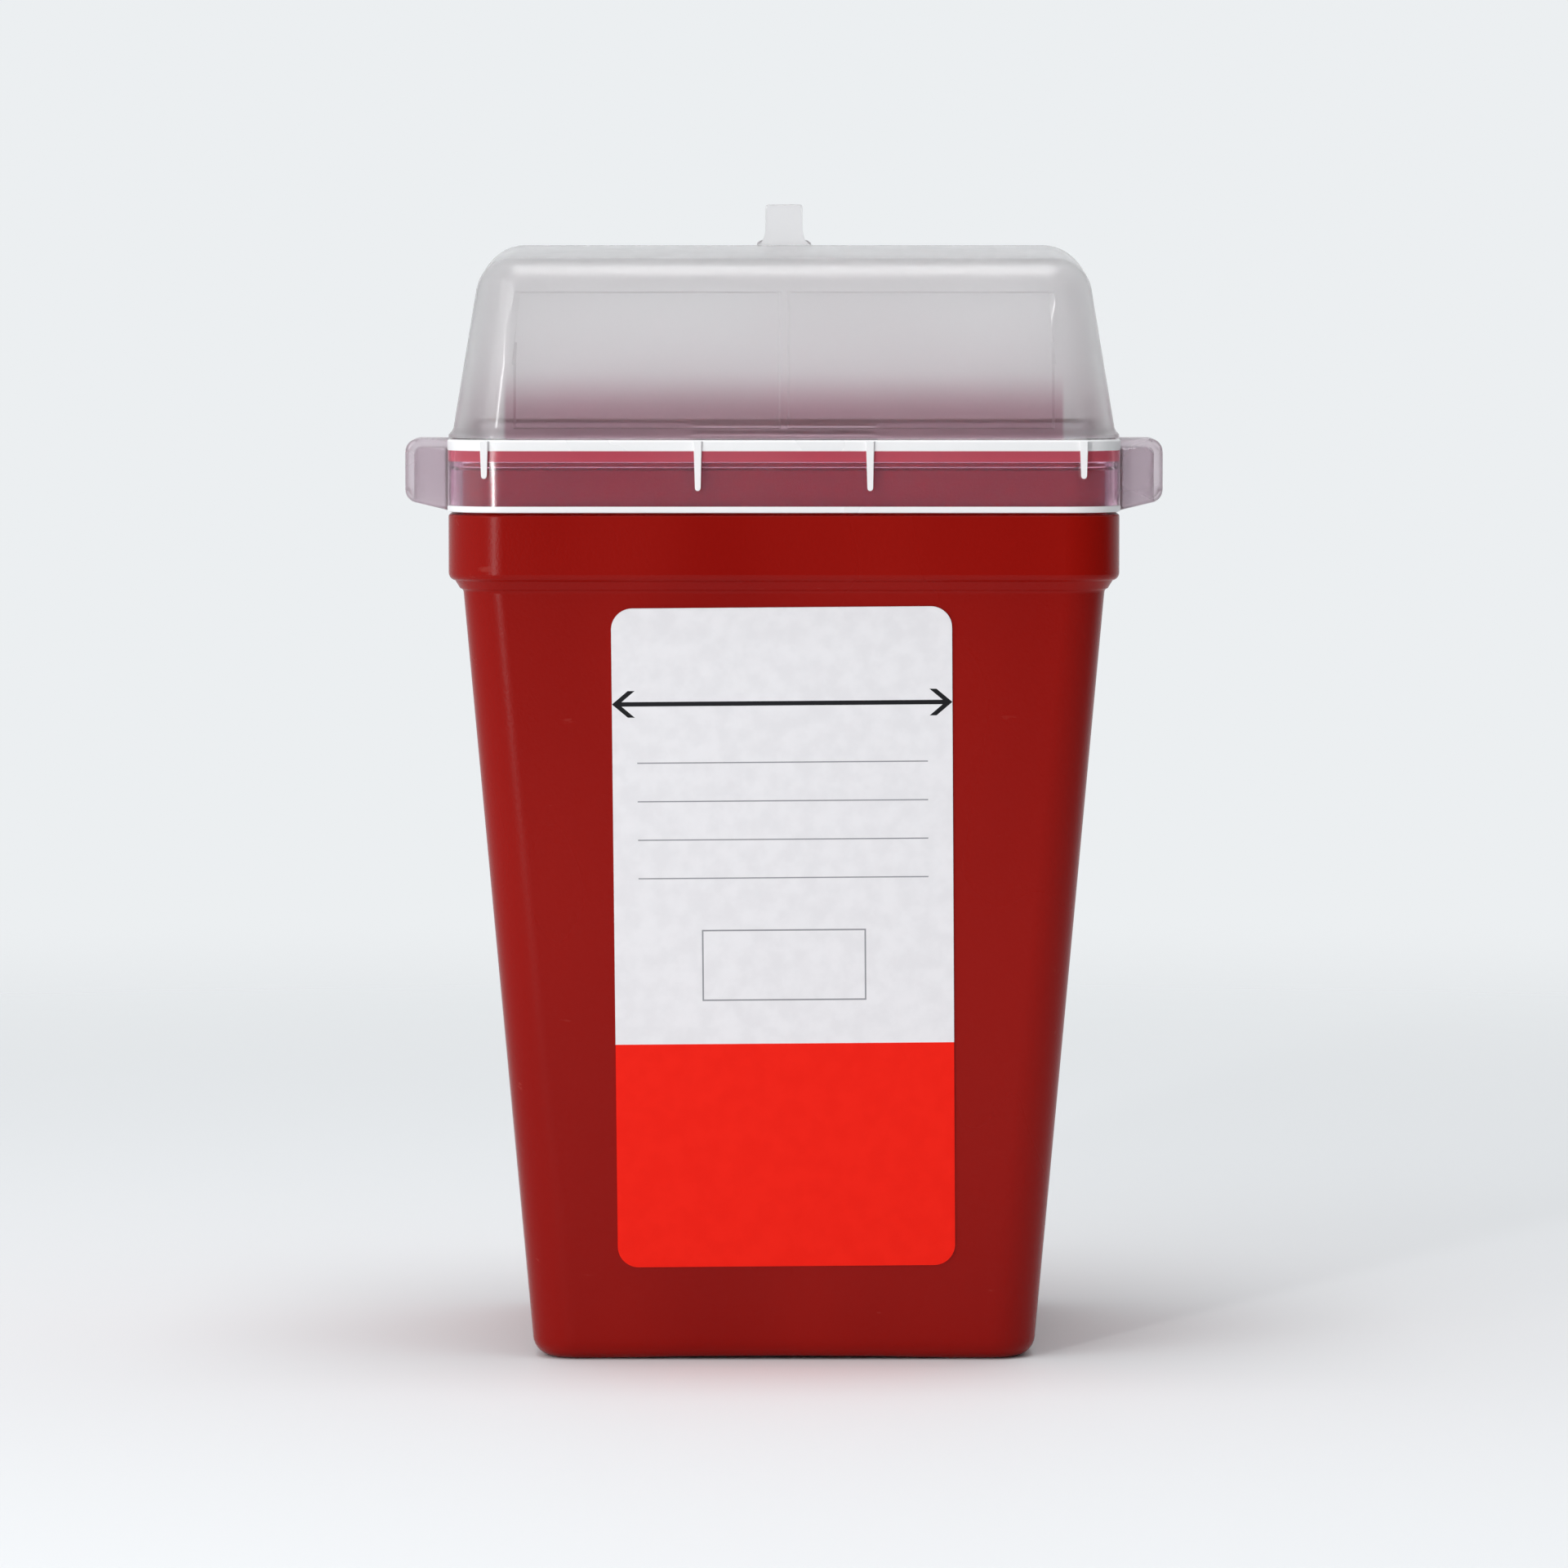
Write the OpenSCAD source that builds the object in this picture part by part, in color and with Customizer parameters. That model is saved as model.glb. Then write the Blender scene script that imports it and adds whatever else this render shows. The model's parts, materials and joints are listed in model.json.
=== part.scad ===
// Square sharps container: a tapered tub, a push-fit lid frame and a flip hood.
// Millimetres, +Z up, front faces -Y. The origin is the centre of the tub's flat underside.

/* [Tub] */
// Width and depth across the underside, before its edge is rounded
base_w = 71.4; // [58:0.1:88]
// Width and depth across the collar
collar_w = 94.8; // [80:0.1:120]
// Height of the tapered body, up to the collar
body_h = 110.9; // [80:0.1:140]
// Height of the collar
collar_h = 9.9; // [6:0.1:16]
// Height of the neck that the lid frame snaps over
neck_h = 9.25; // [8:0.05:14]
// How far the collar stands out from the body on each side
collar_step = 2; // [1.2:0.1:3]
// Wall of the tapered body
tub_wall = 1.6; // [1:0.1:2.2]
// Floor of the tub
floor_t = 2; // [1.2:0.1:4]
// Corner radius of the collar, seen from above
collar_r = 8; // [5:0.1:12]
// Corner radius of the body at its base, seen from above
base_r = 6.5; // [5:0.1:10]
// Rounding of the bottom edge
base_edge_r = 3; // [1:0.1:4]
// Rise of the shallow arch under each side of the base
foot_arch = 0.5; // [0.2:0.1:1.2]
// Width of that arch
foot_arch_w = 52; // [30:1:56]

/* [Lid frame] */
// Wall of the skirt
skirt_t = 1.2; // [0.8:0.1:1.8]
// How far the skirt stands proud of the collar
skirt_proud = 0.15; // [0:0.05:0.5]
// Thickness of the deck
deck_t = 1.3; // [0.8:0.1:2.5]
// Room between the tub's neck and the skirt
snap_room = 0.9; // [0.7:0.05:1.4]
// Clearance between the tub's snap bead and the skirt, and between the bead and the ridge
snap_gap = 0.1; // [0.05:0.05:0.2]
// Clearance between the skirt's snap ridge and the tub's neck
ridge_gap = 0.3; // [0.15:0.05:0.5]
// Height of the tub's snap bead
bead_h = 1.8; // [1:0.1:2.5]
// Wall of the plug and of the coaming above it
plug_t = 1.2; // [0.8:0.1:1.8]
// Clearance between the plug and the tub's mouth
plug_gap = 0.25; // [0.1:0.05:0.5]
// Depth of the plug below the deck
plug_d = 6.5; // [3:0.1:8]
// Height of the coaming above the deck
coaming_h = 3; // [2:0.1:5]
// Clearance between the skirt's lower edge and the collar
skirt_gap = 0.3; // [0.1:0.05:0.6]

/* [Skirt details] */
// How far each grip ear stands out from the skirt
ear_out = 6; // [4:0.05:9]
// Length of a grip ear along the side
ear_l = 13; // [8:0.5:30]
// Distance from the skirt's front face back to a grip ear
ear_back = 9.6; // [8:0.1:30]
// How much shorter an ear is at its outer end
ear_slant = 1.2; // [0:0.1:3]
// Wall of a grip ear
ear_t = 1.2; // [0.8:0.1:1.8]
// Distance of the long skirt ribs from the middle of each side
rib_x = 12.1; // [6:0.1:25]
// Length of a long skirt rib
rib_l = 7; // [3:0.1:9]
// Length of a short skirt rib near a corner
short_rib_l = 5.3; // [2:0.1:9]
// Width of a skirt rib at its top
rib_w = 1.2; // [0.8:0.1:2]
// Radius of a skirt rib's lower end
rib_end_r = 0.4; // [0.2:0.05:0.6]
// How far a skirt rib stands out
rib_out = 0.4; // [0.2:0.1:0.8]

/* [Needle unwinder] */
// Depth of the ledge across the rear of the opening
ledge_d = 18; // [14:0.5:30]
// Width of the unwinder slot at its inner end
slot_w = 5.6; // [5:0.1:7]
// Width of the unwinder slot at its mouth
slot_mouth_w = 11; // [8:0.1:16]
// Length of the unwinder slot
slot_l = 12; // [8:0.1:13]

/* [Hood] */
// Height of the hood above the deck, without its thumb tab
hood_h = 27.4; // [22:0.05:40]
// Wall of the hood
hood_t = 1.2; // [0.8:0.1:1.6]
// How far the hood's foot is set in from the skirt
hood_inset = 0.65; // [0.4:0.05:1.5]
// Lean of the hood's walls from upright, in degrees
hood_draft = 9.3; // [4:0.1:14]
// Rounding of the hood's top edges
hood_top_r = 5.5; // [3:0.1:6.5]
// Corner radius of the hood at its foot, seen from above
hood_foot_r = 7.5; // [5:0.1:10]
// Rise of the crowned top
crown = 1.8; // [0.5:0.1:4]
// Clearance between the closed hood and the deck
hood_gap = 0.2; // [0.1:0.05:0.5]
// Half the width of the thin front panel
panel_x = 38; // [28:0.1:38]
// Depth of the thin front panel
panel_d = 0.35; // [0.2:0.05:0.5]
// Width of the rib that divides the front panel
panel_rib_w = 0.9; // [0.5:0.1:2]
// Width of the thumb tab
tab_w = 5.4; // [4:0.1:12]
// Height of the thumb tab
tab_h = 5.9; // [3:0.1:10]
// Thickness of the thumb tab
tab_t = 2; // [1.2:0.1:3]
// Fillet at the root of the thumb tab
tab_fillet = 1.4; // [0.5:0.1:2.5]

/* [Hinge] */
// Distance of the hinge axis behind the skirt
hinge_out = 4.4; // [4:0.1:7]
// Height of the hinge axis above the deck
hinge_up = 2.9; // [2.8:0.1:4]
// Distance of each hinge from the middle of the rear
hinge_x = 30; // [15:0.5:32]
// Radius of a trunnion pin
pin_r = 1.25; // [1:0.05:1.5]
// Radial running clearance of a pin in its lug
pin_gap = 0.06; // [0.02:0.01:0.1]
// Thickness of a lug on the frame and of an arm on the hood
knuckle_t = 3; // [2:0.1:4]
// Radius of a lug around its bore
lug_r = 2.9; // [2.6:0.1:3.2]
// Half the thickness of a hood arm
arm_r = 2.5; // [2:0.1:2.7]
// Side clearance between an arm and its lug
side_gap = 0.25; // [0.1:0.05:0.5]
// How far the hood opens, in degrees, before its heels meet the skirt
open_angle = 110; // [100:1:125]

/* [Label] */
// Width of the label
label_w = 48; // [20:0.5:56]
// Height of the label
label_h = 94.5; // [40:0.5:98]
// Corner radius of the label
label_r = 3; // [0.5:0.1:6]
// Thickness of the label
label_t = 0.25; // [0.1:0.05:0.5]
// Distance from the collar down to the label
label_drop = 3.1; // [2:0.1:30]
// Turn of the hand-applied label, in degrees
label_turn = 0.45; // [-2:0.05:2]

/* [Hidden] */
$fn = 64;
hull_fn = 32;      // facets of the round parts inside a hull
cut = 1;           // how far a cutting solid runs past what it cuts
slice = 0.02;      // height of the thin slabs that a hull joins
min_r = 0.5;       // smallest inside corner radius
skin = 0.2;        // wall left behind the root of a skirt rib
rib_past = 2.7;    // how far a short rib lies past the start of the corner's curve
arch_in = 4;       // how far a foot arch runs in past the rounded edge
lug_foot = 1.5;    // height of a hinge lug's foot above the skirt's lower edge
lug_chin = 1;      // height of a hinge lug's upright rear face

shoulder_half = collar_w / 2 - collar_step;
taper = atan((shoulder_half - base_w / 2) / body_h);
collar_z = body_h + collar_h;
rim_z = collar_z + neck_h;
deck_z = rim_z + deck_t;

mouth_half = shoulder_half - tub_wall;
mouth_r = max(collar_r - collar_step - tub_wall, 2);
skirt_half = collar_w / 2 + skirt_proud;
skirt_r = collar_r + skirt_proud;
skirt_z = collar_z + skirt_gap;
skirt_h = deck_z - skirt_z;
neck_half = skirt_half - skirt_t - snap_room;
neck_r = skirt_r - skirt_t - snap_room;

plug_half = mouth_half - plug_gap;
plug_r = mouth_r - plug_gap;
open_half = plug_half - plug_t;

hood_z = deck_z + hood_gap;
hood_half = skirt_half - hood_inset;
hood_body_h = hood_h - hood_gap;
catch_w = 26;      // length of the closing catch along the front
catch_z = 1.4;     // height of the frame's catch bead above the deck
catch_h = 1;       // height of that bead
catch_out = 0.9;   // how far that bead stands out from the coaming
catch_gap = 0.15;  // clearance between that bead and the hood's catch

hinge_y = skirt_half + hinge_out;
hinge_z = deck_z + hinge_up;
arm_x = hinge_x - side_gap - knuckle_t;
glue_t = 0.02;     // adhesive under the label
heel_r = 2;        // rounding of a heel's upper corner
heel_gap = 0.2;    // what is left between a heel and the skirt when the hood is fully open
heel_l = (hinge_out - heel_gap - arm_r * sin(open_angle)) / -cos(open_angle);
pin_end = 0.4;     // how far a pin runs past its lug

// Rounded square with true arcs, as wide as 2 * half.
module rounded_square(half, r) {
    square([2 * half, 2 * (half - r)], center = true);
    square([2 * (half - r), 2 * half], center = true);
    for (x = [-1, 1], y = [-1, 1])
        translate([x * (half - r), y * (half - r)]) circle(r);
}

module rounded_block(half, r, z, h) {
    translate([0, 0, z]) linear_extrude(h) rounded_square(half, r);
}

module rounded_ring(half, r, wall, z, h) {
    difference() {
        rounded_block(half, r, z, h);
        rounded_block(half - wall, max(r - wall, min_r), z - cut, h + 2 * cut);
    }
}

// The four corner columns of a hull.
module corner_slabs(half, r, z) {
    for (x = [-1, 1], y = [-1, 1])
        translate([x * (half - r), y * (half - r), z])
            cylinder(r = r, h = slice, $fn = hull_fn);
}

// Half the width of the tapered body at height z.
function body_half(z) = base_w / 2 + z * tan(taper);

// The tapered body, set in by inset, from its rounded lower edge at z up to the collar.
module tapered_body(inset, z, edge_r) {
    low_r = base_r - inset;
    round_r = min(edge_r, low_r - slice);
    low_half = body_half(z + round_r) - inset - round_r * (1 / cos(taper) - 1);
    hull() {
        for (x = [-1, 1], y = [-1, 1])
            translate([x * (low_half - low_r), y * (low_half - low_r), z + round_r])
                rotate_extrude($fn = hull_fn)
                    translate([low_r - round_r, 0]) intersection() {
                        circle(round_r, $fn = hull_fn);
                        translate([0, -round_r]) square([round_r, 2 * round_r]);
                    }
        corner_slabs(shoulder_half - inset, collar_r - collar_step - inset, body_h - slice);
    }
}

// A shallow arch across the middle of each side of the underside.
module foot_arches() {
    arch_r = (pow(foot_arch_w / 2, 2) + pow(foot_arch, 2)) / (2 * foot_arch);
    arch_d = base_edge_r + arch_in;
    for (a = [0, 90, 180, 270])
        rotate(a) translate([0, arch_d - body_half(base_edge_r), foot_arch - arch_r])
            rotate([90, 0, 0]) cylinder(r = arch_r, h = arch_d + cut, $fn = 256);
}

module tub() {
    step_h = 0.8;
    color([0.56, 0.09, 0.06]) difference() {
        union() {
            tapered_body(0, 0, base_edge_r);
            hull() {
                corner_slabs(body_half(body_h - step_h), collar_r - collar_step, body_h - step_h);
                corner_slabs(collar_w / 2, collar_r, body_h);
            }
            rounded_block(collar_w / 2, collar_r, body_h, collar_h);
            rounded_block(neck_half, neck_r, body_h, collar_h + neck_h);
            rounded_block(neck_half + snap_room - snap_gap, neck_r + snap_room - snap_gap,
                rim_z - bead_h, bead_h);
        }
        tapered_body(tub_wall, floor_t, base_edge_r - tub_wall / 2);
        rounded_block(mouth_half, mouth_r, body_h - slice, collar_h + neck_h + cut);
        foot_arches();
    }
}

// One rib on the front face of the skirt: tapered, with a round lower end.
module skirt_rib(x, l) {
    root = skirt_t - skin;
    translate([x, root - skirt_half, deck_z]) rotate([90, 0, 0]) linear_extrude(root + rib_out) {
        polygon([
            [-rib_w / 2, 0], [rib_w / 2, 0], [rib_end_r, rib_end_r - l], [-rib_end_r, rib_end_r - l]
        ]);
        translate([0, rib_end_r - l]) circle(rib_end_r);
    }
}

// Outline of a grip ear, seen from the front, from inside the skirt's wall outwards.
module ear_outline() {
    r = 1.8;  // rounding of the two outer corners
    end = ear_out + skirt_t / 2;
    hull() {
        square([slice, skirt_h]);
        for (y = [ear_slant + r, skirt_h - r])
            translate([end - r, y]) circle(r, $fn = hull_fn);
    }
}

// A hollow grip ear on the right-hand side, open underneath.
module grip_ear() {
    front = ear_back - skirt_half;
    difference() {
        translate([skirt_half - skirt_t / 2, front + ear_l, skirt_z])
            rotate([90, 0, 0]) linear_extrude(ear_l) ear_outline();
        translate([skirt_half, front + ear_t, skirt_z - cut])
            cube([ear_out - ear_t, ear_l - 2 * ear_t, skirt_h + cut - ear_t]);
    }
}

// A lug behind the skirt that carries one trunnion pin.
module hinge_lug() {
    foot_in = skirt_t / 2;
    translate([hinge_x, 0, 0]) rotate([90, 0, 90]) difference() {
        linear_extrude(knuckle_t) {
            translate([hinge_y, hinge_z]) circle(lug_r);
            polygon([
                [skirt_half - foot_in, skirt_z + lug_foot], [skirt_half, skirt_z + lug_foot],
                [hinge_y + lug_r, hinge_z - lug_chin], [hinge_y + lug_r, hinge_z],
                [hinge_y - lug_r, hinge_z], [hinge_y - lug_r, deck_z], [skirt_half - foot_in, deck_z]
            ]);
        }
        translate([hinge_y, hinge_z, -cut]) cylinder(r = pin_r + pin_gap, h = knuckle_t + 2 * cut);
    }
}

// Ledge across the rear of the opening, with a tapered slot that grips a needle hub.
module unwinder_ledge() {
    front = open_half - ledge_d;
    end_r = slot_w / 2;
    translate([0, 0, rim_z]) linear_extrude(deck_t) difference() {
        translate([-open_half - plug_t / 2, front]) square([2 * open_half + plug_t, ledge_d + plug_t / 2]);
        polygon([
            [-slot_mouth_w / 2, front - cut], [slot_mouth_w / 2, front - cut],
            [end_r, front + slot_l - end_r], [-end_r, front + slot_l - end_r]
        ]);
        translate([0, front + slot_l - end_r]) circle(end_r);
    }
}

module lid_frame() {
    ridge_out = snap_room - ridge_gap;
    ridge_h = 1;
    color([0.78, 0.72, 0.76, 0.6]) {
        rounded_ring(skirt_half, skirt_r, skirt_t, skirt_z, skirt_h);
        rounded_ring(skirt_half, skirt_r, skirt_half - open_half, rim_z, deck_t);
        rounded_ring(plug_half, plug_r, plug_t, rim_z - plug_d, plug_d + deck_t + coaming_h);
        rounded_ring(skirt_half - skirt_t / 2, skirt_r - skirt_t / 2, skirt_t / 2 + ridge_out,
            rim_z - bead_h - snap_gap - ridge_h, ridge_h);
        unwinder_ledge();
        translate([-catch_w / 2, -plug_half - catch_out, deck_z + catch_z])
            cube([catch_w, catch_out + plug_t / 2, catch_h]);
        for (x = [-rib_x, rib_x], a = [0, 90, 180, 270]) rotate(a) skirt_rib(x, rib_l);
        for (x = [-1, 1], a = [0, 180])
            rotate(a) skirt_rib(x * (skirt_half - skirt_r + rib_past), short_rib_l);
        for (side = [0, 1]) mirror([side, 0, 0]) {
            grip_ear();
            hinge_lug();
        }
    }
}

// Drop of the crowned top at distance y from its ridge, where the corner centres lie at corner_y.
function crown_drop(y, corner_y) = crown * pow(y / corner_y, 2);

// Distance of the top edge's centre line from the middle, for a centre at height z.
function edge_centre(z) = hood_half - z * tan(hood_draft) - hood_top_r / cos(hood_draft);

// The hood as a solid, set in by inset all round and run down past its foot by below.
module hood_blank(inset, below) {
    foot = hood_half - inset / cos(hood_draft) + below * tan(hood_draft);
    ridge_z = hood_body_h - hood_top_r;
    corner_y = edge_centre(ridge_z - crown);
    steps = 3;
    hull() {
        corner_slabs(foot, hood_foot_r - inset, -below);
        for (i = [-steps:steps], x = [-1, 1]) {
            y = corner_y * i / steps;
            z = ridge_z - crown_drop(y, corner_y);
            translate([x * edge_centre(z), y, z]) sphere(hood_top_r - inset, $fn = hull_fn);
        }
    }
}

// Two thin panels in the hood's front wall, with the rib between them left standing.
module front_panels() {
    low = 1.6;  // height of the panels' lower edge above the foot
    high = hood_body_h - hood_top_r - crown;
    translate([0, -hood_half, 0]) rotate([-hood_draft, 0, 0])
        for (side = [0, 1]) mirror([side, 0, 0])
            translate([panel_rib_w / 2, -cut, low])
                cube([panel_x - panel_rib_w / 2, cut + panel_d, high - low]);
}

module thumb_tab() {
    root = 0.6;  // how deep the tab is sunk into the crowned top
    translate([0, tab_t / 2, hood_body_h]) rotate([90, 0, 0]) linear_extrude(tab_t) {
        translate([-tab_w / 2, -root]) square([tab_w, tab_h + root]);
        difference() {
            translate([-tab_w / 2 - tab_fillet, -root]) square([tab_w + 2 * tab_fillet, tab_fillet + root]);
            for (x = [-1, 1]) translate([x * (tab_w / 2 + tab_fillet), tab_fillet]) circle(tab_fillet);
        }
    }
}

// An arm from the rear wall to the hinge axis, with its pin and the heel that stops the hood.
module hinge_arm() {
    pin_l = knuckle_t / 2 + side_gap + knuckle_t + pin_end;
    axis_z = hinge_z - hood_z;
    root_y = hood_half - (axis_z + arm_r) * tan(hood_draft) - hood_t / 4;
    arm_l = hinge_y + heel_l - root_y;
    translate([arm_x, 0, 0]) rotate([90, 0, 90]) {
        linear_extrude(knuckle_t) translate([root_y, axis_z - arm_r]) {
            square([arm_l, 2 * arm_r - heel_r]);
            square([arm_l - heel_r, 2 * arm_r]);
            translate([arm_l - heel_r, 2 * arm_r - heel_r]) circle(heel_r);
        }
        translate([hinge_y, axis_z, knuckle_t / 2]) cylinder(r = pin_r, h = pin_l);
    }
}

// The lip inside the hood's front wall that snaps under the frame's catch bead.
module hood_catch() {
    tip = plug_half + catch_out + catch_gap;
    root = hood_half - hood_t / 2;
    low = 0.2;  // height of the lip's underside above the foot
    translate([-catch_w / 2, -root, low])
        cube([catch_w, root - tip, catch_z - hood_gap - catch_gap - low]);
}

module hood() {
    color([0.8, 0.79, 0.81, 0.5]) translate([0, 0, hood_z]) {
        difference() {
            hood_blank(0, 0);
            hood_blank(hood_t, cut);
            front_panels();
        }
        thumb_tab();
        hood_catch();
        for (side = [0, 1]) mirror([side, 0, 0]) hinge_arm();
    }
}

module label() {
    face_h = label_drop / cos(taper);
    color([0.93, 0.92, 0.92]) translate([0, -shoulder_half, body_h]) rotate([90 + taper, 0, 0])
        translate([0, -face_h - label_h / 2, glue_t]) rotate(label_turn) linear_extrude(label_t) {
            square([label_w, label_h - 2 * label_r], center = true);
            square([label_w - 2 * label_r, label_h], center = true);
            for (x = [-1, 1], y = [-1, 1])
                translate([x * (label_w / 2 - label_r), y * (label_h / 2 - label_r)]) circle(label_r);
        }
}

tub();
lid_frame();
hood();
label();
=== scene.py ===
# Square sharps container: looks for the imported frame. The pieces are sized in millimetres and turned into metres by
# MM. The stage, the lights and the camera are in metres.
import json
import math

import bmesh
import bpy
from mathutils import Matrix, Vector


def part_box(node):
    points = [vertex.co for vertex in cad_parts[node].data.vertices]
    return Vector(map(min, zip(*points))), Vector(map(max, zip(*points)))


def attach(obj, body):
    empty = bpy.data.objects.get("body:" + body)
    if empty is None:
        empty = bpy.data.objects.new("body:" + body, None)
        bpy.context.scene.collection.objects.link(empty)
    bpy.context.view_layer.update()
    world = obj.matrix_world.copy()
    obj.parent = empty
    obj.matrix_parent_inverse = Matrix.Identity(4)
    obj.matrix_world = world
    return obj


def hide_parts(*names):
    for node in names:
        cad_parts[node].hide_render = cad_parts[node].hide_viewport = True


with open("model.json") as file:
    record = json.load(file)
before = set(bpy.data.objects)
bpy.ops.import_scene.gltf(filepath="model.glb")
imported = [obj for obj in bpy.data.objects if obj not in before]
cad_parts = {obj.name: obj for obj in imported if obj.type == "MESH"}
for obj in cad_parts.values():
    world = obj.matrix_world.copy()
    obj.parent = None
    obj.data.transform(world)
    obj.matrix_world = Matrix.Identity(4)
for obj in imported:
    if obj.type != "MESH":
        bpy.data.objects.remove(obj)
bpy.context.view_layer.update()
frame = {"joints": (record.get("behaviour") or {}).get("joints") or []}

MM = 0.001
SHARP = math.radians(32)

# ---------------------------------------------------------------- sizes, some read from the frame's boxes


def box_mm(node):
    lo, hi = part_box(node)
    return [v / MM for v in lo], [v / MM for v in hi]


_, tub_hi = box_mm("tub")
_, hood_hi = box_mm("hood")
axis_y, axis_z = (v / MM for v in frame["joints"][0]["pos_m"][1:])

COLLAR_HALF = tub_hi[0]
COLLAR_R = 8
COLLAR_H = 9.9
COLLAR_STEP = 2
NECK_H = 9.25
RIM_Z = tub_hi[2]
COLLAR_Z = RIM_Z - NECK_H
BODY_H = COLLAR_Z - COLLAR_H
SHOULDER_HALF = COLLAR_HALF - COLLAR_STEP
SHOULDER_R = COLLAR_R - COLLAR_STEP
BASE_HALF = 35.7
BASE_R = 6.5
BASE_EDGE_R = 3
TUB_WALL = 1.6
FLOOR_T = 2
BEAD_H = 1.8  # height of the snap bead at the tub's rim
SLOPE = (SHOULDER_HALF - BASE_HALF) / BODY_H

SKIRT_PROUD = 0.15  # how far the skirt stands out past the collar
SKIRT_GAP = 0.3  # between the collar and the skirt
SNAP_ROOM = 0.9  # between the skirt and the tub's neck
PLUG_GAP = 0.25
SKIRT_HALF = COLLAR_HALF + SKIRT_PROUD
SKIRT_R = COLLAR_R + SKIRT_PROUD
SKIRT_T = 1.2
SKIRT_Z = COLLAR_Z + SKIRT_GAP
DECK_T = 1.3
DECK_Z = RIM_Z + DECK_T
NECK_HALF = SKIRT_HALF - SKIRT_T - SNAP_ROOM
PLUG_HALF = SHOULDER_HALF - TUB_WALL - PLUG_GAP
PLUG_T = 1.2
PLUG_D = 6.5
COAMING_H = 3
OPEN_HALF = PLUG_HALF - PLUG_T

HOOD_GAP = 0.2
HOOD_INSET = 0.65
HOOD_H = 27.4
HOOD_Z = DECK_Z + HOOD_GAP
HOOD_HALF = SKIRT_HALF - HOOD_INSET
HOOD_T = 1.2
HOOD_TOP = DECK_Z + HOOD_H
HOOD_TOP_R = 5.5
HOOD_FOOT_R = 7.5
RIDGE_Z = HOOD_TOP - HOOD_TOP_R  # where the wall ends and the top edge's rounding starts, on the ridge
DRAFT = math.radians(9.3)
CROWN = 1.8
CROWN_REACH = 38  # distance from the ridge at which the top has dropped by CROWN
TOP_LINE_R = 0.9  # corner radius of the line round which the top edge is rounded
PANEL_X = 38
PANEL_D = 0.35
RIB_HALF = 0.45

HINGE_X = 30
KNUCKLE_W = 3
SIDE_GAP = 0.25  # between a lug and its arm
CATCH_W = 26
CORNER_STEPS = 12

# ---------------------------------------------------------------- mesh helpers


def new_object(name, mesh):
    obj = bpy.data.objects.new(name, mesh)
    bpy.context.scene.collection.objects.link(obj)
    return obj


def from_bmesh(name, bm):
    """An object from a bmesh, which is used up. A closed solid's faces are turned outwards."""
    bmesh.ops.recalc_face_normals(bm, faces=bm.faces)
    if bm.calc_volume(signed=True) < 0:
        bmesh.ops.reverse_faces(bm, faces=bm.faces)
    mesh = bpy.data.meshes.new(name)
    bm.to_mesh(mesh)
    bm.free()
    return new_object(name, mesh)


def arc(start, end, steps):
    """Angles in radians from start to end, in degrees, both ends included."""
    return [math.radians(start + (end - start) * i / steps) for i in range(steps + 1)]


def rounded_outline(half, r, marks):
    """A rounded square, anticlockwise from +X, as (x, y, normal x, normal y).

    marks are places along each flat side, drawn in when the side is too short for them.
    """
    points = []
    flat = half - r
    squeeze = min(1, (flat - 0.02) / max(marks))
    for k in range(4):
        turn = math.pi / 2 * k
        c, s = math.cos(turn), math.sin(turn)
        for m in marks:
            x, y = half, m * squeeze
            points.append((x * c - y * s, x * s + y * c, c, s))
        for i in range(CORNER_STEPS + 1):
            a = math.pi / 2 * i / CORNER_STEPS
            x, y = flat + r * math.cos(a), flat + r * math.sin(a)
            nx, ny = math.cos(a), math.sin(a)
            points.append((x * c - y * s, x * s + y * c, nx * c - ny * s, nx * s + ny * c))
    return points


def even_marks(reach, count):
    return [reach * (2 * i / (count - 1) - 1) for i in range(count)]


def loft(rings, closed=False):
    """A bmesh skin over rings of points in millimetres. A closed loft joins its last ring to its first."""
    bm = bmesh.new()
    made = [[bm.verts.new(Vector(p) * MM) for p in ring] for ring in rings]
    pairs = list(zip(made, made[1:]))
    if closed:
        pairs.append((made[-1], made[0]))
    for low, high in pairs:
        for i in range(len(low)):
            j = (i + 1) % len(low)
            bm.faces.new((low[i], low[j], high[j], high[i]))
    if not closed:
        bm.faces.new(list(reversed(made[0])))
        bm.faces.new(made[-1])
    return bm


def prism(name, outline, depth, matrix, bevel=0.0, segments=3):
    """A slab with a given outline in its own XY plane, from z = 0 up to depth, with its end edges rounded."""
    bm = bmesh.new()
    low = [bm.verts.new((x * MM, y * MM, 0)) for x, y in outline]
    high = [bm.verts.new((x * MM, y * MM, depth * MM)) for x, y in outline]
    bottom = bm.faces.new(list(reversed(low)))
    top = bm.faces.new(high)
    for i in range(len(low)):
        j = (i + 1) % len(low)
        bm.faces.new((low[i], low[j], high[j], high[i]))
    if bevel:
        edges = list(set(bottom.edges) | set(top.edges))
        bmesh.ops.bevel(
            bm,
            geom=edges,
            offset=bevel * MM,
            segments=segments,
            profile=0.5,
            affect="EDGES",
            clamp_overlap=True,
        )
    bm.transform(matrix)
    return from_bmesh(name, bm)


def place(x, y, z, columns):
    """A matrix whose local X, Y and Z axes are the given columns, with its origin at a point in millimetres."""
    m = Matrix.Translation(Vector((x, y, z)) * MM)
    rotation = Matrix(columns).transposed().to_4x4()
    return m @ rotation


FACING_FRONT = ((1, 0, 0), (0, 0, 1), (0, -1, 0))  # outline in XZ, depth towards -Y
SIDEWAYS = ((0, 1, 0), (0, 0, 1), (1, 0, 0))  # outline in YZ, depth towards +X
UPRIGHT = ((1, 0, 0), (0, 1, 0), (0, 0, 1))


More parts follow.
